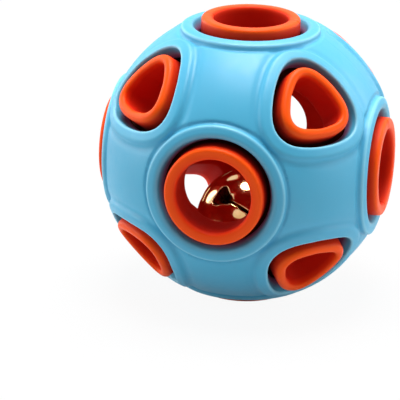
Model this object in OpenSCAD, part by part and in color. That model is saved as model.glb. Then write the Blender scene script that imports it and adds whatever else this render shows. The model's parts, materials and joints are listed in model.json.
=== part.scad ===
// Treat dispensing ball: a hollow outer shell with raised bands round its ports,
// a second hollow ball inside it whose collars stand in those ports, and a loose
// jingle bell with a loose pellet. Lengths are in millimetres. The origin is the
// centre of the ball, +Z points up through a round port, and -Y points through
// the round port at the front.

/* [Outer shell] */
// Diameter of the outer shell between its raised bands
shell_d = 73.5; // [70:0.5:90]
// Wall of the outer shell
shell_wall = 3; // [2.6:0.1:3.6]
// Height of the raised bands above the shell
band_rise = 0.75; // [0.4:0.05:1.2]

/* [Round ports] */
// Diameter of a round port in the outer shell
round_port_d = 29.2; // [28:0.1:31]
// Width of the raised band round a round port
round_band_w = 2.8; // [1.5:0.1:3.5]
// Radius of the rounded lip of a round port
round_lip_r = 1.3; // [0.5:0.1:1.5]
// Diameter of a round collar
round_collar_d = 24.7; // [22:0.1:26.5]
// Wall of a round collar
round_collar_wall = 2.95; // [2:0.05:4]
// Height of a round collar's rim above the lip of its port
round_collar_rise = 1.25; // [0.6:0.05:2.5]
// Radius of the rounded outer edge of a round collar's rim
round_rim_r = 0.8; // [0.6:0.1:1.6]

/* [Corner ports] */
// Mean diameter of a three-sided corner port in the outer shell
corner_port_d = 22.6; // [21:0.1:23.5]
// Width of the raised band round a corner port
corner_band_w = 3; // [1.5:0.1:3.2]
// Depth of the sloped lip of a corner port
corner_lip = 0.8; // [0.4:0.1:1.1]
// Mean diameter of a corner collar
corner_collar_d = 18.1; // [16:0.1:19.5]
// Mean wall of a corner collar
corner_collar_wall = 2.4; // [1.8:0.05:3]
// Height of a corner collar's rim above the lip of its port
corner_collar_rise = 1.15; // [0.3:0.05:1.5]
// Width of the sloped edge of a corner collar's rim
corner_rim_edge = 0.8; // [0.4:0.1:1.1]

/* [Inner ball] */
// Gap between the outer shell and the inner ball
layer_gap = 3.75; // [3.2:0.05:4.2]
// Wall of the inner ball
inner_wall = 2.5; // [2:0.1:3]
// Diameter of a spacer peg between the two layers
peg_d = 5; // [3.5:0.1:6]
// Depth to which a spacer peg seats in the outer shell
peg_seat_depth = 1.25; // [0.8:0.05:1.6]
// Clearance round a spacer peg in its socket
peg_clearance = 0.15; // [0.1:0.05:0.3]

/* [Bell] */
// Diameter of the bell
bell_d = 25; // [24:0.1:27]
// Wall of the bell
bell_wall = 0.8; // [0.6:0.1:1.2]
// Clearance under the bell where it rests on the bottom bore
bell_clearance = 0.25; // [0.15:0.05:0.4]
// Width of the two crossed slits
slit_w = 0.7; // [0.5:0.1:1.2]
// Mean diameter of the three-sided hole that ends each slit
slit_hole_d = 5; // [4:0.1:5.6]
// Angle between the crossing of the slits and a hole that ends one
slit_hole_angle = 59; // [55:1:64]
// Diameter of the wire of the bell's loop
loop_wire_d = 1.3; // [1:0.1:1.6]
// Inner diameter of the bell's loop
loop_bore_d = 2.8; // [2.4:0.1:3.2]
// Diameter of the loose pellet in the bell
pellet_d = 6; // [5.8:0.1:8]
// Clearance under the pellet
pellet_clearance = 0.15; // [0.1:0.05:0.3]

/* [Hidden] */
$fn = 96;

// Share of its mean radius by which a three-sided outline reaches out at its
// points and draws in at its sides, and by which both are sharpened
port_point_share = 0.095;
port_sharp_share = 0.01;
collar_point_share = 0.089;
collar_sharp_share = 0.006;
bore_point_share = 0.122;
bore_sharp_share = 0.025;
hole_point_share = 0.2;
hole_sharp_share = 0.02;
// Points on a three-sided outline
outline_points = 36;

// Cuts run this far past what they cut
overrun = 1;
// Overlap by which a fused detail is rooted in what carries it
root = 0.5;
// Height of the thin slices that end a sloped form
sliver = 0.01;

// Radii of the shell's surfaces
shell_r = shell_d / 2;
band_r = shell_r + band_rise;
shell_inner_r = shell_r - shell_wall;
inner_r = shell_inner_r - layer_gap;
cavity_r = inner_r - inner_wall;

// Radii and heights of a round port and its collar, measured from the centre
round_port_r = round_port_d / 2;
round_band_r = round_port_r + round_band_w;
round_collar_r = round_collar_d / 2;
round_bore_r = round_collar_r - round_collar_wall;
round_port_h = sqrt(pow(band_r, 2) - pow(round_port_r, 2));
round_lip_h = round_port_h - round_lip_r;
round_rim_h = round_port_h + round_collar_rise;
bore_inner_h = sqrt(pow(cavity_r, 2) - pow(round_bore_r, 2));

// Mean radii and heights of a corner port and its collar
corner_port_r = corner_port_d / 2;
corner_band_r = corner_port_r + corner_band_w;
corner_collar_r = corner_collar_d / 2;
corner_bore_r = corner_collar_r - corner_collar_wall;
corner_port_h = sqrt(pow(band_r, 2) - pow(corner_port_r, 2));
corner_rim_h = corner_port_h + corner_collar_rise;

// Where the collars are rooted in the wall of the inner ball, and the bands in
// the wall of the shell
round_foot_h = sqrt(pow(cavity_r + root, 2) - pow(round_collar_r, 2));
corner_foot_h = sqrt(pow(cavity_r + root, 2) - pow(corner_collar_r * (1 + collar_point_share), 2));
round_band_foot_h = sqrt(pow(shell_r - root, 2) - pow(round_band_r, 2));
corner_band_foot_h = sqrt(pow(shell_r - root, 2) - pow(corner_band_r * (1 + port_point_share), 2));

// Where a spacer peg ends
peg_tip_h = shell_inner_r + peg_seat_depth;
// Where the cuts from outside stop, clear of the ball
outside_h = band_r + overrun;

// The corners lean by this angle from the vertical axis
corner_tilt = acos(1 / sqrt(3));

// The crossing of the bell's slits leans and turns by these angles, and the
// slits turn about it by the last one
bell_tilt_angle = 77.3;
bell_turn_angle = -56.6;
bell_spin_angle = -129.5;

// Sizes of the bell, with the middle and the reach of its loop, which stands on
// the side away from the slits
bell_r = bell_d / 2;
slit_hole_h = bell_r * cos(slit_hole_angle);
loop_r = (loop_bore_d + loop_wire_d) / 2;
loop_middle_h = bell_r + loop_bore_d / 2;
loop_reach = loop_r + loop_wire_d / 2;
// The bell sinks until it rests in the inner edge of the bottom bore or with its
// loop on the wall of the cavity, whichever it meets first
bore_seat_h = bore_inner_h - sqrt(pow(bell_r, 2) - pow(round_bore_r, 2));
loop_seat_h = sqrt(pow(cavity_r - loop_reach, 2) - pow(loop_middle_h * sin(bell_tilt_angle), 2))
    - loop_middle_h * cos(bell_tilt_angle);
bell_z = bell_clearance - min(bore_seat_h, loop_seat_h);
pellet_r = pellet_d / 2;
pellet_drop = bell_r - bell_wall - pellet_r - pellet_clearance;

// Turns a shape that stands on +Z to one of the round ports of a front half,
// given as the tilt from +Z and the turn round it
front_round_ports = [[90, -90], [90, 0], [90, 180], [0, 0], [180, 0]];
// The four corners of a front half, in the same form, with the turn about the
// corner's own axis that points its outline at the round ports
front_corners = [for (tilt = [corner_tilt, 180 - corner_tilt], turn = [-45, -135])
    [tilt, turn, tilt < 90 ? 180 : 0]];
// The four spacer pegs of a front half
front_pegs = [[90, -45], [90, -135], [45, -90], [135, -90]];

// Outline with three rounded points, the first of them on +X
function three_sided_outline(mean_r, point_share, sharp_share) =
    [for (i = [0:outline_points - 1])
        let (
            a = 360 * i / outline_points,
            r = mean_r * (1 + point_share * cos(3 * a) + sharp_share * cos(6 * a))
        )
        [r * cos(a), r * sin(a)]];

// Places what stands on +Z at each entry of a list of tilts and turns
module at_each(places) {
    for (p = places)
        rotate([0, p[0], p[1]])
            rotate([0, 0, len(p) > 2 ? p[2] : 0])
                children();
}

// Straight prism on a three-sided outline, from one height to another
module three_sided_prism(mean_r, point_share, sharp_share, from_h, to_h) {
    translate([0, 0, from_h])
        linear_extrude(to_h - from_h)
            polygon(three_sided_outline(mean_r, point_share, sharp_share));
}

// Straight round cutter or bar from one height to another
module round_bar(r, from_h, to_h) {
    translate([0, 0, from_h])
        cylinder(r = r, h = to_h - from_h);
}

// Everything behind the parting plane
module behind_parting_plane() {
    size = 2 * outside_h;
    translate([-size / 2, 0, -size / 2])
        cube(size);
}

// Cutter for a round port. It flares at the lip round a circle that touches the
// port's wall.
module round_port_cutter() {
    lip_x = round_port_r + round_lip_r;
    rotate_extrude()
        difference() {
            polygon([
                [0, cavity_r / 2],
                [round_port_r, cavity_r / 2],
                [round_port_r, round_lip_h],
                [lip_x, round_lip_h],
                [lip_x * outside_h / round_lip_h, outside_h],
                [0, outside_h]
            ]);
            translate([lip_x, round_lip_h])
                circle(r = round_lip_r);
        }
}

// Cutter for a corner port, with a sloped lip
module corner_port_cutter() {
    slope_foot_h = corner_port_h - corner_lip - overrun;
    slope_top = outside_h - slope_foot_h - overrun;
    three_sided_prism(corner_port_r, port_point_share, port_sharp_share, cavity_r / 2, outside_h);
    hull() {
        three_sided_prism(corner_port_r - overrun, port_point_share, port_sharp_share,
            slope_foot_h, slope_foot_h + sliver);
        three_sided_prism(corner_port_r + slope_top, port_point_share, port_sharp_share,
            outside_h, outside_h + sliver);
    }
}

// Solid form of a round collar, with the outer edge of its rim rounded
module round_collar() {
    body_h = round_rim_h - round_rim_r;
    rotate_extrude() {
        translate([0, round_foot_h])
            square([round_collar_r, body_h - round_foot_h]);
        translate([0, round_foot_h])
            square([round_collar_r - round_rim_r, round_rim_h - round_foot_h]);
        translate([round_collar_r - round_rim_r, body_h])
            circle(r = round_rim_r);
    }
}

// Solid form of a corner collar, with the outer edge of its rim sloped
module corner_collar() {
    hull() {
        three_sided_prism(corner_collar_r, collar_point_share, collar_sharp_share,
            corner_foot_h, corner_rim_h - corner_rim_edge);
        three_sided_prism(corner_collar_r - corner_rim_edge / 2, collar_point_share,
            collar_sharp_share, corner_foot_h, corner_rim_h);
    }
}

// Front half of the outer shell, with its sockets for the spacer pegs
module outer_shell_half() {
    difference() {
        union() {
            sphere(r = shell_r);
            at_each(front_round_ports)
                intersection() {
                    sphere(r = band_r);
                    round_bar(round_band_r, round_band_foot_h, outside_h);
                }
            at_each(front_corners)
                intersection() {
                    sphere(r = band_r);
                    three_sided_prism(corner_band_r, port_point_share, port_sharp_share,
                        corner_band_foot_h, outside_h);
                }
        }
        sphere(r = shell_inner_r);
        at_each(front_round_ports)
            round_port_cutter();
        at_each(front_corners)
            corner_port_cutter();
        at_each(front_pegs)
            round_bar(peg_d / 2 + peg_clearance, inner_r, peg_tip_h);
        behind_parting_plane();
    }
}

// Front half of the inner ball, with its collars and its spacer pegs
module inner_ball_half() {
    difference() {
        union() {
            sphere(r = inner_r);
            at_each(front_round_ports)
                round_collar();
            at_each(front_corners)
                corner_collar();
            at_each(front_pegs)
                round_bar(peg_d / 2, cavity_r + root, peg_tip_h);
        }
        sphere(r = cavity_r);
        at_each(front_round_ports)
            round_bar(round_bore_r, cavity_r / 2, outside_h);
        at_each(front_corners)
            three_sided_prism(corner_bore_r, bore_point_share, bore_sharp_share,
                cavity_r / 2, outside_h);
        behind_parting_plane();
    }
}

// Places what is modelled about the bell's centre, with +Z through the crossing
// of its slits
module at_bell() {
    translate([0, 0, bell_z])
        rotate([0, bell_tilt_angle, bell_turn_angle])
            rotate([0, 0, bell_spin_angle])
                children();
}

// Hollow hemisphere on the +Z side
module bell_cup() {
    difference() {
        sphere(r = bell_r);
        sphere(r = bell_r - bell_wall);
        translate([-bell_r, -bell_r, -bell_d])
            cube([bell_d, bell_d, bell_d]);
    }
}

// Slot of one of the crossed slits, with its end holes, which point at the crossing
module slit() {
    translate([-bell_r, -slit_w / 2, slit_hole_h])
        cube([bell_d, slit_w, bell_r]);
    for (side = [-1, 1])
        rotate([0, side * slit_hole_angle, 0])
            rotate([0, 0, side > 0 ? 180 : 0])
                three_sided_prism(slit_hole_d / 2, hole_point_share, hole_sharp_share,
                    bell_r / 2, bell_r + overrun);
}

module outer_shell_front() {
    color("#5FB4DC")
        outer_shell_half();
}

module outer_shell_back() {
    color("#5FB4DC")
        mirror([0, 1, 0])
            outer_shell_half();
}

module inner_ball_front() {
    color("#E8481C")
        inner_ball_half();
}

module inner_ball_back() {
    color("#E8481C")
        mirror([0, 1, 0])
            inner_ball_half();
}

module bell_slit_half() {
    color("#C98F3C")
        at_bell()
            difference() {
                bell_cup();
                for (turn = [0, 90])
                    rotate([0, 0, turn])
                        slit();
            }
}

module bell_loop_half() {
    color("#C98F3C")
        at_bell()
            mirror([0, 0, 1])
                bell_cup();
}

// Wire loop that stands on the bell, with its feet on the bell's surface
module bell_loop() {
    color("#C98F3C")
        at_bell()
            difference() {
                translate([0, 0, -loop_middle_h])
                    rotate([90, 0, 0])
                        rotate_extrude()
                            translate([loop_r, 0])
                                circle(d = loop_wire_d);
                sphere(r = bell_r);
            }
}

module bell_pellet() {
    color("silver")
        translate([0, 0, bell_z - pellet_drop])
            sphere(d = pellet_d);
}

outer_shell_front();
outer_shell_back();
inner_ball_front();
inner_ball_back();
bell_slit_half();
bell_loop_half();
bell_loop();
bell_pellet();
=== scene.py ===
import json
import math

import bmesh
import bpy
import numpy as np
from mathutils import Matrix, Vector


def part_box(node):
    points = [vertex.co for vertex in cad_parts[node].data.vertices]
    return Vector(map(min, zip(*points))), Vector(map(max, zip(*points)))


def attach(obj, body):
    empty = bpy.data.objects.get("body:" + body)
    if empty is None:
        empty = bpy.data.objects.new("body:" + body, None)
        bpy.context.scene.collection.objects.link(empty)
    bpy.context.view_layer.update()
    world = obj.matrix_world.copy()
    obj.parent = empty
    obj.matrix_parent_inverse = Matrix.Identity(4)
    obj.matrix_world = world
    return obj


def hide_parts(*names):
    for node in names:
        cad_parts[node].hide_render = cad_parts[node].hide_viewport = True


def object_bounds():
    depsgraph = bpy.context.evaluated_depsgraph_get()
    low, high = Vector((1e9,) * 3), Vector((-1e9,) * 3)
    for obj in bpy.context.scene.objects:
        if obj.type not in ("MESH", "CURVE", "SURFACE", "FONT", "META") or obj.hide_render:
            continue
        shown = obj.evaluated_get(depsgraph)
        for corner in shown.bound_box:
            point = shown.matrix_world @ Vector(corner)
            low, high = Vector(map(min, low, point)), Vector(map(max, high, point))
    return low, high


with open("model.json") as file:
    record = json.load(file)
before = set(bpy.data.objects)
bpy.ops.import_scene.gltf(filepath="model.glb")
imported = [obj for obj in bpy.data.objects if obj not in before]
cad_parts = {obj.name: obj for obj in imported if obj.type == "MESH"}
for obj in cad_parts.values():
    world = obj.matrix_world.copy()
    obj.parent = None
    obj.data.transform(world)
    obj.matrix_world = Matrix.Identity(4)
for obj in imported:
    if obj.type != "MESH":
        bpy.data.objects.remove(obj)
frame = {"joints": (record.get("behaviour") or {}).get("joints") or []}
cad_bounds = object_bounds()

MM = 0.001

# Sizes in millimetres, the same as the solids'
SHELL_R = 36.75
SHELL_WALL = 3.0
BAND_RISE = 0.75
ROUND_PORT_R = 14.6
ROUND_BAND_W = 2.8
ROUND_COLLAR_R = 12.35
ROUND_BORE_R = 9.4
CORNER_PORT_R = 11.3
CORNER_BAND_W = 3.0
CORNER_COLLAR_R = 9.05
CORNER_BORE_R = 6.65
CORNER_COLLAR_RISE = 1.15
LAYER_GAP = 3.75
INNER_WALL = 2.5
PEG_R = 2.5
PEG_CLEARANCE = 0.15
PEG_SEAT = 1.25
PEG_ROOT = 1.0
BELL_WALL = 0.8
SLIT_W = 0.7
SLIT_HOLE_R = 2.5
SLIT_HOLE_ANGLE = math.radians(59)
LOOP_WIRE_R = 0.65
LOOP_BORE_R = 1.4

# How far a three-sided outline reaches out at its points, and how sharp it is,
# as shares of its mean radius
PORT_SHARES = (0.095, 0.010)
COLLAR_SHARES = (0.089, 0.006)
BORE_SHARES = (0.122, 0.025)
HOLE_SHARES = (0.200, 0.020)

# Forms too small for the solids. The bands' and the shell's edges and feet have
# these radii, and a round band sinks towards its port.
ROUND_BAND_DIP = 0.3
ROUND_BAND_EDGE_R, ROUND_BAND_FOOT_R = 0.28, 0.12
CORNER_BAND_EDGE_R, CORNER_BAND_FOOT_R = 0.8, 0.4
INSIDE_EDGE_R = 0.4
# The wall of a port leans in: its lean, the depth where it starts, and its lip
ROUND_WALL_LEAN, ROUND_WALL_START, ROUND_LIP_R = 0.42, 0.6, 1.1
CORNER_WALL_LEAN, CORNER_WALL_START, CORNER_LIP_R = 0.25, 0.4, 0.5
# A skirt round each port thickens the shell on its inside and fades as far again
SKIRT_RISE, SKIRT_W = 0.8, 2
# Collars and bores of the inner ball
ROUND_DRAFT, ROUND_COLLAR_EDGE_R = 0.01, 0.8
CORNER_DRAFT, CORNER_COLLAR_EDGE_R = 0.03, 1.25
COLLAR_FOOT_R = 0.6
BORE_EDGE_R = 0.8

# Soft ridges: height, place and width. Moats lie outside the feet of the bands.
ROUND_MOAT = (0.42, 0.4, 0.45)
CORNER_MOAT = (0.26, 0.7, 1.0)
# Painted highlights: pale lines on the lips of the ports and on the rims of the round bands
ROUND_LIP_HIGHLIGHT = (0.4, 0.6, 0.35)
CORNER_LIP_HIGHLIGHT = (0.7, 0.25, 0.3)
RIM_HIGHLIGHT = (0.5, 0.2, 0.3)
RIM_HIGHLIGHT_REACH = 0.4

# Painted shade: the collars' sides darken from this far below the rim, over these depths
DARK_START = 2.6
ROUND_DARK_FADE, CORNER_DARK_FADE = 3, 2.6
DARK_MARGIN = 1.2

# Radii of the layers, and the height of the collars' rims, from the frame. The
# margin keeps the rims just inside the solids' box.
RIM_MARGIN = 0.005
SHELL_INNER_R = SHELL_R - SHELL_WALL
BAND_R = SHELL_R + BAND_RISE
INNER_R = SHELL_INNER_R - LAYER_GAP
CAVITY_R = INNER_R - INNER_WALL
PEG_TIP_H = SHELL_INNER_R + PEG_SEAT
ROUND_RIM_H = -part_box("inner_ball_front")[0].y / MM - RIM_MARGIN
CORNER_RIM_H = math.sqrt(BAND_R ** 2 - CORNER_PORT_R ** 2) + CORNER_COLLAR_RISE
BELL_CENTRE = np.array(frame["joints"][0]["pos_m"]) / MM
slit_box, loop_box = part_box("bell_slit_half"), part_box("bell_loop_half")
BELL_R = (max(slit_box[1].z, loop_box[1].z) - min(slit_box[0].z, loop_box[0].z)) / 2 / MM

# Cells of the meshes
BALL_CELL = 0.4
BELL_CELL = 0.26
LOOP_CELL = 0.16


# Distance fields, in millimetres, negative inside

def round_both(a, b, r):
    """Where both fields are inside, with the outer edge rounded to radius r."""
    outside = np.hypot(np.maximum(a + r, 0), np.maximum(b + r, 0))
    return np.minimum(np.maximum(a + r, b + r), 0) + outside - r


def round_either(a, b, r):
    """Where either field is inside, with the inner corner filleted to radius r."""
    inside = np.hypot(np.minimum(a - r, 0), np.minimum(b - r, 0))
    return np.maximum(np.minimum(a - r, b - r), 0) - inside + r


def ridge(x, form):
    """A soft ridge along x."""
    height, middle, width = form
    return height * np.exp(-((x - middle) / width) ** 2)


def three_sided(a, b, mean_r, shares):
    """Distance from a three-sided outline whose first point is on +a."""
    rho = np.hypot(a, b) + 1e-9
    c, s = a / rho, b / rho
    c3, s3 = 4 * c ** 3 - 3 * c, 3 * s - 4 * s ** 3
    point, sharp = shares
    r = mean_r * (1 + point * c3 + sharp * (2 * c3 * c3 - 1))
    slope = -mean_r * s3 * (3 * point + 12 * sharp * c3)
    return (rho - r) / np.sqrt(1 + (slope / r) ** 2)


def folded(p):
    """Coordinates in the ball's smallest repeating piece, where the nearest round
    port is on +Z and the nearest corner on (1, 1, 1)."""
    q = np.sort(np.abs(p), axis=-1)
    return q[..., 0], q[..., 1], q[..., 2]


def round_frame(p):
    """Height along the nearest round port's axis and distance from it."""
    x, y, z = folded(p)
    return z, np.hypot(x, y)


def corner_frame(p):
    """Height along the nearest corner's axis, and the two coordinates across it."""
    x, y, z = folded(p)
    return (x + y + z) / math.sqrt(3), (2 * z - x - y) / math.sqrt(6), (x - y) / math.sqrt(2)


def from_ports(p):
    """Distance outside the walls of the nearest round port and corner port."""
    _, rho = round_frame(p)
    _, a, b = corner_frame(p)
    return rho - ROUND_PORT_R, three_sided(a, b, CORNER_PORT_R, PORT_SHARES)


def pegs(p, r, low, high):
    """Bars on the eight axes halfway between the round ports, off the parting plane."""
    x, y, z = (np.abs(p[..., i]) for i in range(3))
    d = np.full(x.shape, 1e3)
    for a, b, across in ((x, y, z), (y, z, x)):
        h = (a + b) / math.sqrt(2)
        rho = np.hypot((a - b) / math.sqrt(2), across)
        d = np.minimum(d, np.maximum(rho - r, np.maximum(low - h, h - high)))
    return d


def shell_field(p):
    """The outer shell with its raised bands, ports and peg sockets."""
    dist = np.linalg.norm(p, axis=-1)
    from_round, from_corner = from_ports(p)
    past_round, past_corner = from_round - ROUND_BAND_W, from_corner - CORNER_BAND_W
    dip = ROUND_BAND_DIP * np.clip(1 - from_round / ROUND_BAND_W, 0, 1)
    round_band = round_both(dist - BAND_R + dip, past_round, ROUND_BAND_EDGE_R)
    corner_band = round_both(dist - BAND_R, past_corner, CORNER_BAND_EDGE_R)
    moat = ridge(past_corner, CORNER_MOAT) + ridge(past_round, ROUND_MOAT)
    d = round_either(dist - SHELL_R + moat, round_band, ROUND_BAND_FOOT_R)
    d = round_either(d, corner_band, CORNER_BAND_FOOT_R)
    skirt = SKIRT_RISE * np.clip(2 - np.minimum(from_round, from_corner) / SKIRT_W, 0, 1)
    d = round_both(d, SHELL_INNER_R - skirt - dist, INSIDE_EDGE_R)
    depth = BAND_R - dist
    d = round_both(d, -from_round - ROUND_WALL_LEAN * (depth - ROUND_WALL_START), ROUND_LIP_R)
    d = round_both(d, -from_corner - CORNER_WALL_LEAN * (depth - CORNER_WALL_START), CORNER_LIP_R)
    return np.maximum(d, -pegs(p, PEG_R + PEG_CLEARANCE, INNER_R, PEG_TIP_H))


def inner_field(p):
    """The inner ball with its collars and spacer pegs."""
    dist = np.linalg.norm(p, axis=-1)
    h, rho = round_frame(p)
    draft = ROUND_DRAFT * (ROUND_RIM_H - h)
    collar = round_both(rho - ROUND_COLLAR_R - draft, h - ROUND_RIM_H, ROUND_COLLAR_EDGE_R)
    d = round_either(dist - INNER_R, np.maximum(collar, CAVITY_R - h), COLLAR_FOOT_R)
    hc, a, b = corner_frame(p)
    draft = CORNER_DRAFT * (CORNER_RIM_H - hc)
    edge = three_sided(a, b, CORNER_COLLAR_R, COLLAR_SHARES) - draft
    collar = round_both(edge, hc - CORNER_RIM_H, CORNER_COLLAR_EDGE_R)
    d = round_either(d, np.maximum(collar, CAVITY_R - hc), COLLAR_FOOT_R)
    d = np.minimum(d, pegs(p, PEG_R, INNER_R - PEG_ROOT, PEG_TIP_H))
    d = round_both(d, CAVITY_R - dist, INSIDE_EDGE_R)
    d = round_both(d, ROUND_BORE_R - rho, BORE_EDGE_R)
    return round_both(d, -three_sided(a, b, CORNER_BORE_R, BORE_SHARES), BORE_EDGE_R)


def shell_painted_highlight(p):
    """Painted highlights on the shell, up to 1: pale lines on the lips of the ports and on the
    bands' rims.
    """
    from_round, from_corner = from_ports(p)
    depth = np.maximum(BAND_R - np.linalg.norm(p, axis=-1), 0)
    corner_lip = ridge(np.maximum(from_corner, 0) + depth, CORNER_LIP_HIGHLIGHT)
    round_lip = ridge(np.maximum(from_round, 0) + depth, ROUND_LIP_HIGHLIGHT)
    rim = ridge(np.maximum(ROUND_BAND_W - from_round, 0) + depth, RIM_HIGHLIGHT)
    rim = rim * (from_round < ROUND_BAND_W + RIM_HIGHLIGHT_REACH)
    return np.maximum(np.maximum(corner_lip, round_lip), rim)


def inner_painted_shade(p):
    """Painted shade, up to 1, on what lies deep in the gap between the collars and the shell."""
    dist = np.linalg.norm(p, axis=-1)
    h, rho = round_frame(p)
    hc, a, b = corner_frame(p)
    edge = three_sided(a, b, CORNER_COLLAR_R, COLLAR_SHARES)
    below_round = (ROUND_RIM_H - h - DARK_START) / ROUND_DARK_FADE
    below_corner = (CORNER_RIM_H - hc - DARK_START) / CORNER_DARK_FADE
    outside = (dist > CAVITY_R + DARK_MARGIN) & (edge > -DARK_MARGIN)
    outside = outside & (rho > ROUND_COLLAR_R - DARK_MARGIN)
    return np.clip(np.minimum(below_round, below_corner), 0, 1) * outside


# Meshes of distance fields

def gradient(field, p):
    """Slope of a field, from its values a small step to either side."""
    g = np.empty_like(p)
    step = 0.02
    for i in range(3):
        shift = np.zeros(3)
        shift[i] = step
        g[:, i] = (field(p + shift) - field(p - shift)) / (2 * step)
    return g


def onto_surface(field, p, rounds, reach):
    """Moves points onto the field's surface, by no more than reach a round."""
    for _ in range(rounds):
        g = gradient(field, p)
        # The floor under the squared slope keeps steps short where the field is flat
        move = -field(p)[:, None] * g / np.maximum((g * g).sum(1), 0.2)[:, None]
        length = np.linalg.norm(move, axis=1)
        p = p + move * np.minimum(1, reach / np.maximum(length, 1e-9))[:, None]
    return p


def surface_net(field, low, high, cell):
    """Vertices and quads of the field's surface inside a box: one vertex in each
    grid cell that the surface crosses."""
    axes = [np.arange(low[i], high[i] + cell, cell) for i in range(3)]
    value = []
    for x in axes[0]:
        layer = np.stack(np.meshgrid([x], axes[1], axes[2], indexing="ij"), -1)
        value.append(field(layer)[0])
    value = np.stack(value)
    inside = value < 0
    total = np.zeros([n - 1 for n in value.shape] + [3])
    count = np.zeros([n - 1 for n in value.shape])
    cells = [slice(0, -1), slice(1, None)]
    # A cell's vertex is the mean of the crossings on its twelve edges
    for axis in range(3):
        others = [i for i in range(3) if i != axis]
        for u in (0, 1):
            for v in (0, 1):
                at = [None] * 3
                at[others[0]], at[others[1]] = cells[u], cells[v]
                at[axis] = slice(0, -1)
                a = value[tuple(at)]
                at[axis] = slice(1, None)
                b = value[tuple(at)]
                crossed = (a < 0) != (b < 0)
                t = np.where(crossed, a / np.where(crossed, a - b, 1), 0)
                total[..., axis] += np.where(crossed, t, 0)
                total[..., others[0]] += crossed * u
                total[..., others[1]] += crossed * v
                count += crossed
    used = count > 0
    index = np.full(used.shape, -1)
    index[used] = np.arange(used.sum())
    where = np.argwhere(used)
    points = np.array([a[0] for a in axes]) + cell * (where + total[used] / count[used][:, None])
    # Each crossed grid edge gives a quad between the four cells round it
    quads = []
    for axis in range(3):
        u, v = (axis + 1) % 3, (axis + 2) % 3
        at = [slice(None)] * 3
        at[axis] = slice(0, -1)
        a = inside[tuple(at)]
        at[axis] = slice(1, None)
        b = inside[tuple(at)]
        for sign, mask in ((1, a & ~b), (-1, b & ~a)):
            c = np.argwhere(mask)
            within = (c[:, u] > 0) & (c[:, v] > 0)
            within = within & (c[:, u] < used.shape[u]) & (c[:, v] < used.shape[v])
            c = c[within]
            corners = []
            for du, dv in ((-1, -1), (0, -1), (0, 0), (-1, 0)):
                k = c.copy()
                k[:, u] += du
                k[:, v] += dv
                corners.append(index[k[:, 0], k[:, 1], k[:, 2]])
            quad = np.stack(corners, 1)
            quads.append(quad if sign > 0 else quad[:, ::-1])
    return points, np.concatenate(quads)


def relaxed(points, quads, field, rounds):
    """Evens out the mesh along the surface."""
    edges = np.concatenate([quads[:, [i, (i + 1) % 4]] for i in range(4)])
    for _ in range(rounds):
        total, count = np.zeros_like(points), np.zeros(len(points))
        for a, b in ((0, 1), (1, 0)):
            np.add.at(total, edges[:, a], points[edges[:, b]])
            np.add.at(count, edges[:, a], 1)
        points = points * 0.5 + 0.5 * total / np.maximum(count, 1)[:, None]
        points = onto_surface(field, points, 2, 0.3)
    return points


def field_mesh(field, low, high, cell):
    """Even mesh of the field's surface inside a box."""
    points, quads = surface_net(field, low, high, cell)
    points = onto_surface(field, points, 5, 0.25)
    return relaxed(points, quads, field, 2), quads


def cut_bmesh(bm, snap, place, normal, **options):
    """Cuts a mesh along a plane. Vertices nearer to it than snap count as on it."""
    everything = bm.verts[:] + bm.edges[:] + bm.faces[:]
    bmesh.ops.bisect_plane(bm, geom=everything, dist=snap, plane_co=place,
                           plane_no=normal, **options)


def half_mesh(name, points, quads, place, cut, groove, groove_w, painted_light=None):
    """Half of a mesh, on the negative side of a plane through the origin with normal
    cut, closed there, with a fine groove along the joint line. It is then placed.
    The painted light of each vertex, if given, is kept on the mesh for the material."""
    bm = bmesh.new()
    for p in points:
        bm.verts.new(p)
    bm.verts.ensure_lookup_table()
    for q in quads:
        bm.faces.new([bm.verts[i] for i in q])
    bm.normal_update()
    normal = Vector(cut)
    cut_bmesh(bm, 0.06, (0, 0, 0), normal, clear_outer=True, use_snap_center=True)
    cut_bmesh(bm, 0.02, -normal * groove_w, normal)
    bm.normal_update()
    on_plane = 1e-4
    rim = [v for v in bm.verts if abs(v.co.dot(normal)) < on_plane]
    for v in rim:
        inward = -(v.normal - v.normal.dot(normal) * normal).normalized()
        v.co += inward * groove
        v.co -= normal * v.co.dot(normal)
    edges = [e for e in bm.edges if e.is_boundary]
    caps = bmesh.ops.holes_fill(bm, edges=edges, sides=0)["faces"]
    bmesh.ops.triangulate(bm, faces=caps, quad_method="BEAUTY", ngon_method="BEAUTY")
    for f in bm.faces:
        f.smooth = True
    for e in bm.edges:
        if all(abs(v.co.dot(normal)) < on_plane for v in e.verts):
            e.smooth = False
    bmesh.ops.recalc_face_normals(bm, faces=bm.faces[:])
    mesh = bpy.data.meshes.new(name)
    bm.to_mesh(mesh)
    bm.free()
    if painted_light:
        at = np.array([v.co for v in mesh.vertices])
        kept = mesh.attributes.new("painted_light", "FLOAT", "POINT")
        kept.data.foreach_set("value", painted_light(at))
    mesh.transform(place)
    if place.determinant() < 0:
        mesh.flip_normals()
    return mesh


def add_piece(name, mesh, body, slot, material, *nodes):
    """A visible piece on a body, in place of these nodes."""
    piece = bpy.data.objects.new(name, mesh)
    bpy.context.scene.collection.objects.link(piece)
    mesh.materials.append(material)
    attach(piece, body)
    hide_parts(*nodes)


# Materials

def new_material(name):
    material = bpy.data.materials.new(name)
    material.use_nodes = True
    tree = material.node_tree
    shader = next(n for n in tree.nodes if n.type == "BSDF_PRINCIPLED")
    return material, tree, shader


def node(tree, kind, **values):
    """A node, with values set on the inputs or properties of these names."""
    made = tree.nodes.new(kind)
    for key, value in values.items():
        if key in made.inputs.keys():
            made.inputs[key].default_value = value
        else:
            setattr(made, key, value)
    return made


def noise(tree, position, scale, detail=2.0, roughness=0.5):
    made = node(tree, "ShaderNodeTexNoise", Scale=scale, Detail=detail, Roughness=roughness)
    tree.links.new(position, made.inputs["Vector"])
    return made.outputs["Fac"]


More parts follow.
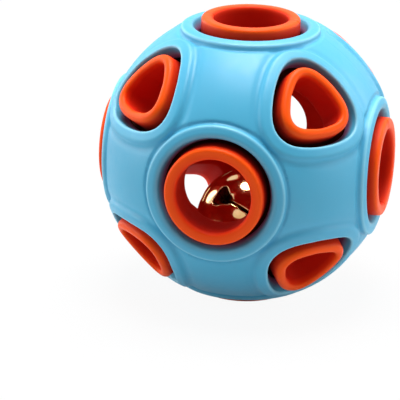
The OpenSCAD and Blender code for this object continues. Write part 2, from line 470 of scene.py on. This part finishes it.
def ramp(tree, value, *stops):
    made = node(tree, "ShaderNodeValToRGB")
    while len(made.color_ramp.elements) < len(stops):
        made.color_ramp.elements.new(0.5)
    for element, (position, color) in zip(made.color_ramp.elements, stops):
        element.position = position
        element.color = (*color, 1)
    tree.links.new(value, made.inputs["Fac"])
    return made.outputs["Color"]


def grey(v):
    return (v, v, v)


def math_node(tree, operation, *values):
    """A Math node: each value is a number or a socket to link."""
    made = node(tree, "ShaderNodeMath", operation=operation)
    for value, socket in zip(values, made.inputs):
        if isinstance(value, (int, float)):
            socket.default_value = value
        else:
            tree.links.new(value, socket)
    return made.outputs[0]


def add_bump(tree, shader, height, strength, distance):
    bump = node(tree, "ShaderNodeBump", Strength=strength, Distance=distance)
    tree.links.new(height, bump.inputs["Height"])
    tree.links.new(bump.outputs["Normal"], shader.inputs["Normal"])


def rubber(name, colours, painted_light, roughness, gloss, deep_r, skin_r):
    """Moulded rubber, deeper in colour inside than on its skin as painted shade, and duller
    inside, with slow drifts of colour, a fine matte grain, faint scuffs, and where the mesh's mark
    is 1 the given colour of painted light: painted highlights on the shell, painted shade on the
    inner ball. The colours run from inside, at the radius deep_r, to the skin, at skin_r."""
    material, tree, shader = new_material(name)
    place = node(tree, "ShaderNodeTexCoord").outputs["Object"]
    far = node(tree, "ShaderNodeVectorMath", operation="LENGTH")
    tree.links.new(place, far.inputs[0])
    level = node(tree, "ShaderNodeMapRange")
    level.inputs["From Min"].default_value = deep_r * MM
    level.inputs["From Max"].default_value = skin_r * MM
    tree.links.new(far.outputs["Value"], level.inputs["Value"])
    level = level.outputs["Result"]
    drift = math_node(tree, "MULTIPLY_ADD", noise(tree, place, 45, 3), 0.25, -0.125)
    # Painted shade: the colour deepens from the skin inwards, where the hollows lie in shade
    colour = ramp(tree, math_node(tree, "ADD", level, drift), *colours)
    # Painted light: where the mesh's mark is 1, the colour turns to the given colour, a painted
    # highlight on the shell and painted shade on the inner ball
    mark = node(tree, "ShaderNodeAttribute", attribute_name="painted_light")
    both = node(tree, "ShaderNodeMix", data_type="RGBA")
    # The Mix node's inputs of other data types share names, so they go by place
    share, _, _, _, _, _, first, second = both.inputs[:8]
    tree.links.new(mark.outputs["Fac"], share)
    tree.links.new(colour, first)
    second.default_value = (*painted_light, 1)
    tree.links.new(both.outputs[2], shader.inputs["Base Color"])
    scuff = noise(tree, place, 420, 6, 0.65)
    rough = ramp(tree, scuff, (0.35, grey(roughness - 0.04)), (0.7, grey(roughness + 0.08)))
    duller = math_node(tree, "MULTIPLY_ADD", level, -0.3, 0.3)
    tree.links.new(math_node(tree, "ADD", rough, duller), shader.inputs["Roughness"])
    add_bump(tree, shader, noise(tree, place, 2600, 3, 0.6), 0.12, 0.00012)
    shader.inputs["IOR"].default_value = 1.5
    shader.inputs["Specular IOR Level"].default_value = gloss
    return material


def metal(name, light, dark, roughness):
    """Polished metal: faint tarnish and fine polishing marks."""
    material, tree, shader = new_material(name)
    place = node(tree, "ShaderNodeTexCoord").outputs["Object"]
    tarnish = noise(tree, place, 180, 4)
    tree.links.new(ramp(tree, tarnish, (0.35, dark), (0.6, light)), shader.inputs["Base Color"])
    marks = noise(tree, place, 1500, 5, 0.7)
    rough = ramp(tree, marks, (0.4, grey(roughness)), (0.75, grey(roughness + 0.12)))
    tree.links.new(rough, shader.inputs["Roughness"])
    add_bump(tree, shader, marks, 0.03, 0.00005)
    shader.inputs["Metallic"].default_value = 1.0
    return material


blue_rubber = rubber(
    "shell_rubber_blue",
    # Painted shade: slate purple inside, for the port walls in shade lit by red light from the
    # collars
    colours=((0.0, (0.240, 0.075, 0.180)), (1.0, (0.064, 0.400, 0.618))),
    # Painted highlight colour, for the pale lines on the lips and the bands' rims
    painted_light=(0.300, 0.680, 0.840),
    roughness=0.42, gloss=0.44, deep_r=34.3, skin_r=36.15)
orange_rubber = rubber(
    "inner_rubber_orange",
    # Painted shade: deep red inside, turning orange towards the skin
    colours=(
        (0.0, (0.600, 0.012, 0.001)),
        (0.6, (0.820, 0.034, 0.002)),
        (0.95, (0.920, 0.086, 0.003)),
    ),
    # Painted shade colour, near black, deep in the gap round the collars
    painted_light=(0.080, 0.003, 0.001),
    roughness=0.40, gloss=0.13, deep_r=35.2, skin_r=37.6)
brass = metal("bell_brass", light=(0.86, 0.58, 0.31), dark=(0.70, 0.40, 0.16), roughness=0.06)
steel = metal("pellet_steel", light=(0.62, 0.62, 0.63), dark=(0.46, 0.46, 0.48), roughness=0.22)

# The two layers of the ball, each as a front half and its mirror image, with the
# depth and width of the groove at its seam
to_metres = Matrix.Scale(MM, 4)
to_back = to_metres @ Matrix.Scale(-1, 4, (0, 1, 0))
ball_reach = BAND_R + 1
past_seam = 2

# Each layer carries its painted light: painted highlights on the shell, painted shade on the inner
# ball
for field, painted_light, layer, slot, material, groove, groove_w in (
    (shell_field, shell_painted_highlight, "outer_shell", "shell_rubber", blue_rubber, 0.05, 0.3),
    (inner_field, inner_painted_shade, "inner_ball", "inner_rubber", orange_rubber, 0.25, 0.25),
):
    low, high = (-ball_reach,) * 3, (ball_reach, past_seam, ball_reach)
    points, quads = field_mesh(field, low, high, BALL_CELL)
    for name, place in ((layer + "_front", to_metres), (layer + "_back", to_back)):
        mesh = half_mesh(name + "_skin", points, quads, place, (0, 1, 0), groove, groove_w, painted_light)
        add_piece(name + "_moulding", mesh, "root", slot, material, name)

# The bell, about its own centre with +Z through the crossing of its slits
bell_tilt, bell_turn, bell_spin = (math.radians(a) for a in (77.3, -56.6, -129.5))
bell_place = (
    Matrix.Translation(Vector(BELL_CENTRE * MM))
    @ Matrix.Rotation(bell_turn, 4, "Z")
    @ Matrix.Rotation(bell_tilt, 4, "Y")
    @ Matrix.Rotation(bell_spin, 4, "Z")
    @ to_metres
)
BELL_EDGE_R, SLIT_EDGE_R, SLIT_HOLE_FILLET_R = 0.12, 0.15, 0.4
BELL_GROOVE, BELL_GROOVE_W = 0.06, 0.15


def bell_field(p):
    """A thin hollow sphere with two crossed slits on the +Z side, each ending in
    a three-sided hole whose point runs into the slit."""
    dist = np.linalg.norm(p, axis=-1)
    d = round_both(dist - BELL_R, BELL_R - BELL_WALL - dist, BELL_EDGE_R)
    x, y, z = np.abs(p[..., 0]), np.abs(p[..., 1]), p[..., 2]
    ends_h = BELL_R * math.cos(SLIT_HOLE_ANGLE)
    for along, across in ((x, y), (y, x)):
        slit = np.maximum(across - SLIT_W / 2, ends_h - z)
        hole_h = along * math.sin(SLIT_HOLE_ANGLE) + z * math.cos(SLIT_HOLE_ANGLE)
        out = along * math.cos(SLIT_HOLE_ANGLE) - z * math.sin(SLIT_HOLE_ANGLE)
        hole = three_sided(-out, across, SLIT_HOLE_R, HOLE_SHARES)
        hole = np.maximum(hole, BELL_R / 2 - hole_h)
        d = round_both(d, -round_either(slit, hole, SLIT_HOLE_FILLET_R), SLIT_EDGE_R)
    return d


bell_reach = BELL_R + 0.5
points, quads = field_mesh(bell_field, (-bell_reach,) * 3, (bell_reach,) * 3, BELL_CELL)
for name, cut in (("bell_slit_half", (0, 0, -1)), ("bell_loop_half", (0, 0, 1))):
    mesh = half_mesh(name + "_skin", points, quads, bell_place, cut, BELL_GROOVE, BELL_GROOVE_W)
    add_piece(name + "_pressing", mesh, "bell", "bell_brass", brass, name)


def loop_mesh():
    """Wire loop on the far side of the bell from the slits, cut off just clear of
    the bell's skin."""
    ring_r = LOOP_BORE_R + LOOP_WIRE_R
    centre = np.array([0, 0, -BELL_R - LOOP_BORE_R])
    clearance = 0.02

    def field(p):
        q = p - centre
        ring = np.hypot(np.hypot(q[..., 0], q[..., 2]) - ring_r, q[..., 1]) - LOOP_WIRE_R
        return np.maximum(ring, BELL_R + clearance - np.linalg.norm(p, axis=-1))

    size = ring_r + LOOP_WIRE_R + 0.4
    points, quads = field_mesh(field, centre - size, centre + size, LOOP_CELL)
    mesh = bpy.data.meshes.new("bell_loop_skin")
    mesh.from_pydata(points.tolist(), [], quads.tolist())
    mesh.transform(bell_place)
    mesh.shade_smooth()
    return mesh


add_piece("bell_loop_wire", loop_mesh(), "bell", "bell_brass", brass, "bell_loop")


def pellet_mesh():
    """A tumbled steel shot: a sphere with slight flats worn on it."""
    low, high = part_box("bell_pellet")
    bm = bmesh.new()
    bmesh.ops.create_icosphere(bm, subdivisions=5, radius=(high.z - low.z) / 2)
    for v in bm.verts:
        n = v.co.normalized()
        wear = sum(math.sin(7 * n[i] + 2 * i) * math.sin(5 * n[(i + 1) % 3] + i) for i in range(3))
        v.co *= 1 - 0.004 * (1 + wear / 3)
    for f in bm.faces:
        f.smooth = True
    mesh = bpy.data.meshes.new("bell_pellet_skin")
    bm.to_mesh(mesh)
    bm.free()
    mesh.transform(Matrix.Translation((low + high) / 2))
    return mesh


add_piece("bell_pellet_shot", pellet_mesh(), "pellet", "pellet_steel", steel, "bell_pellet")

# Camera, fitted to the photograph: 400 pixels square, with the ball's centre at
# this pixel and its axes turned by these angles
PHOTO_SIZE = 400
BALL_PIXEL = (247.5, 152.8)
FOCAL_PIXELS = 2755.0
CAMERA_DISTANCE = 0.6978
CAMERA_AZIMUTH = math.radians(13.22)
CAMERA_ELEVATION = math.radians(18.50)
CAMERA_ROLL = math.radians(1.475)


def add_camera():
    """Turns the camera instead of shifting it, so that it needs no lens shift."""
    az, el = CAMERA_AZIMUTH, CAMERA_ELEVATION
    back = Vector((math.sin(az) * math.cos(el), -math.cos(az) * math.cos(el), math.sin(el)))
    level = Vector((math.cos(az), math.sin(az), 0))
    above = back.cross(level)
    right = level * math.cos(CAMERA_ROLL) + above * math.sin(CAMERA_ROLL)
    up = above * math.cos(CAMERA_ROLL) - level * math.sin(CAMERA_ROLL)
    aside = BALL_PIXEL[0] - PHOTO_SIZE / 2
    higher = PHOTO_SIZE / 2 - BALL_PIXEL[1]
    place = back * CAMERA_DISTANCE
    back = (back * FOCAL_PIXELS + right * aside + up * higher).normalized()
    right = (right - back * right.dot(back)).normalized()
    up = back.cross(right)
    data = bpy.data.cameras.new("photo_camera")
    data.sensor_width = 36
    data.lens = FOCAL_PIXELS / PHOTO_SIZE * data.sensor_width
    data.clip_start = 0.01
    camera = bpy.data.objects.new("photo_camera", data)
    turn = Matrix((right, up, back)).transposed().to_4x4()
    camera.matrix_world = Matrix.Translation(place) @ turn
    bpy.context.scene.collection.objects.link(camera)
    bpy.context.scene.camera = camera


add_camera()


# Floor, backdrop and light

def seen_share(tree, seen, mirrored):
    """The share for rays that see a thing or look at it through glass, or the other
    share for rays that see it mirrored, or 0 for the light that falls on things."""
    rays = node(tree, "ShaderNodeLightPath").outputs
    direct = math_node(tree, "MAXIMUM", rays["Is Camera Ray"], rays["Is Transmission Ray"])
    seen = math_node(tree, "MULTIPLY", direct, seen)
    mirrored = math_node(tree, "MULTIPLY", rays["Is Glossy Ray"], mirrored)
    return math_node(tree, "MAXIMUM", seen, mirrored)


def add_floor():
    """A pale floor just under the ball, which glows white where it is seen."""
    under_ball = (0, 0, cad_bounds[0].z - 0.0002)
    bpy.ops.mesh.primitive_plane_add(size=6, location=under_ball)
    floor = bpy.context.object
    floor.name = "floor"
    material, tree, shader = new_material("floor_paint")
    shader.inputs["Base Color"].default_value = (0.62, 0.62, 0.62, 1)
    shader.inputs["Roughness"].default_value = 0.9
    glow = node(tree, "ShaderNodeEmission", Strength=1.0)
    glow.inputs["Color"].default_value = (1, 1, 1, 1)
    both = node(tree, "ShaderNodeMixShader")
    out = next(n for n in tree.nodes if n.type == "OUTPUT_MATERIAL")
    tree.links.new(seen_share(tree, 0.93, 0.3), both.inputs["Fac"])
    tree.links.new(shader.outputs["BSDF"], both.inputs[1])
    tree.links.new(glow.outputs["Emission"], both.inputs[2])
    tree.links.new(both.outputs["Shader"], out.inputs["Surface"])
    floor.data.materials.append(material)


def set_world(ambient):
    """Even grey light on the object, and a white room where it is seen or mirrored."""
    world = bpy.data.worlds.new("studio")
    bpy.context.scene.world = world
    world.use_nodes = True
    tree = world.node_tree
    background = next(n for n in tree.nodes if n.type == "BACKGROUND")
    level = node(tree, "ShaderNodeMapRange")
    level.inputs["To Min"].default_value = ambient
    level.inputs["To Max"].default_value = 1.0
    tree.links.new(seen_share(tree, 1.0, 1.0), level.inputs["Value"])
    tree.links.new(level.outputs["Result"], background.inputs["Strength"])
    background.inputs["Color"].default_value = (1, 1, 1, 1)


def add_softbox(name, place, size, power):
    """A rectangular lamp that faces the ball."""
    data = bpy.data.lights.new(name, "AREA")
    data.shape = "RECTANGLE"
    data.size, data.size_y = size
    data.energy = power
    lamp = bpy.data.objects.new(name, data)
    lamp.location = place
    lamp.rotation_euler = Vector(place).to_track_quat("Z", "Y").to_euler()
    bpy.context.scene.collection.objects.link(lamp)


add_floor()
set_world(ambient=0.08)
for name, place, size, power in (
    ("top_softbox", (0.0, 0.0, 0.7), (0.4, 0.4), 6.0),
    ("back_softbox", (0.0, 0.30, 0.60), (0.5, 0.4), 2.4),
    ("left_softbox", (-0.65, -0.15, 0.10), (0.35, 0.5), 2.4),
    ("left_rim_softbox", (-0.60, 0.30, 0.20), (0.35, 0.5), 1.5),
    ("right_softbox", (0.68, -0.05, 0.10), (0.35, 0.5), 1.5),
    ("right_rim_softbox", (0.55, 0.40, 0.30), (0.4, 0.4), 1.9),
):
    add_softbox(name, place, size, power)
bpy.context.scene.view_settings.view_transform = "Standard"
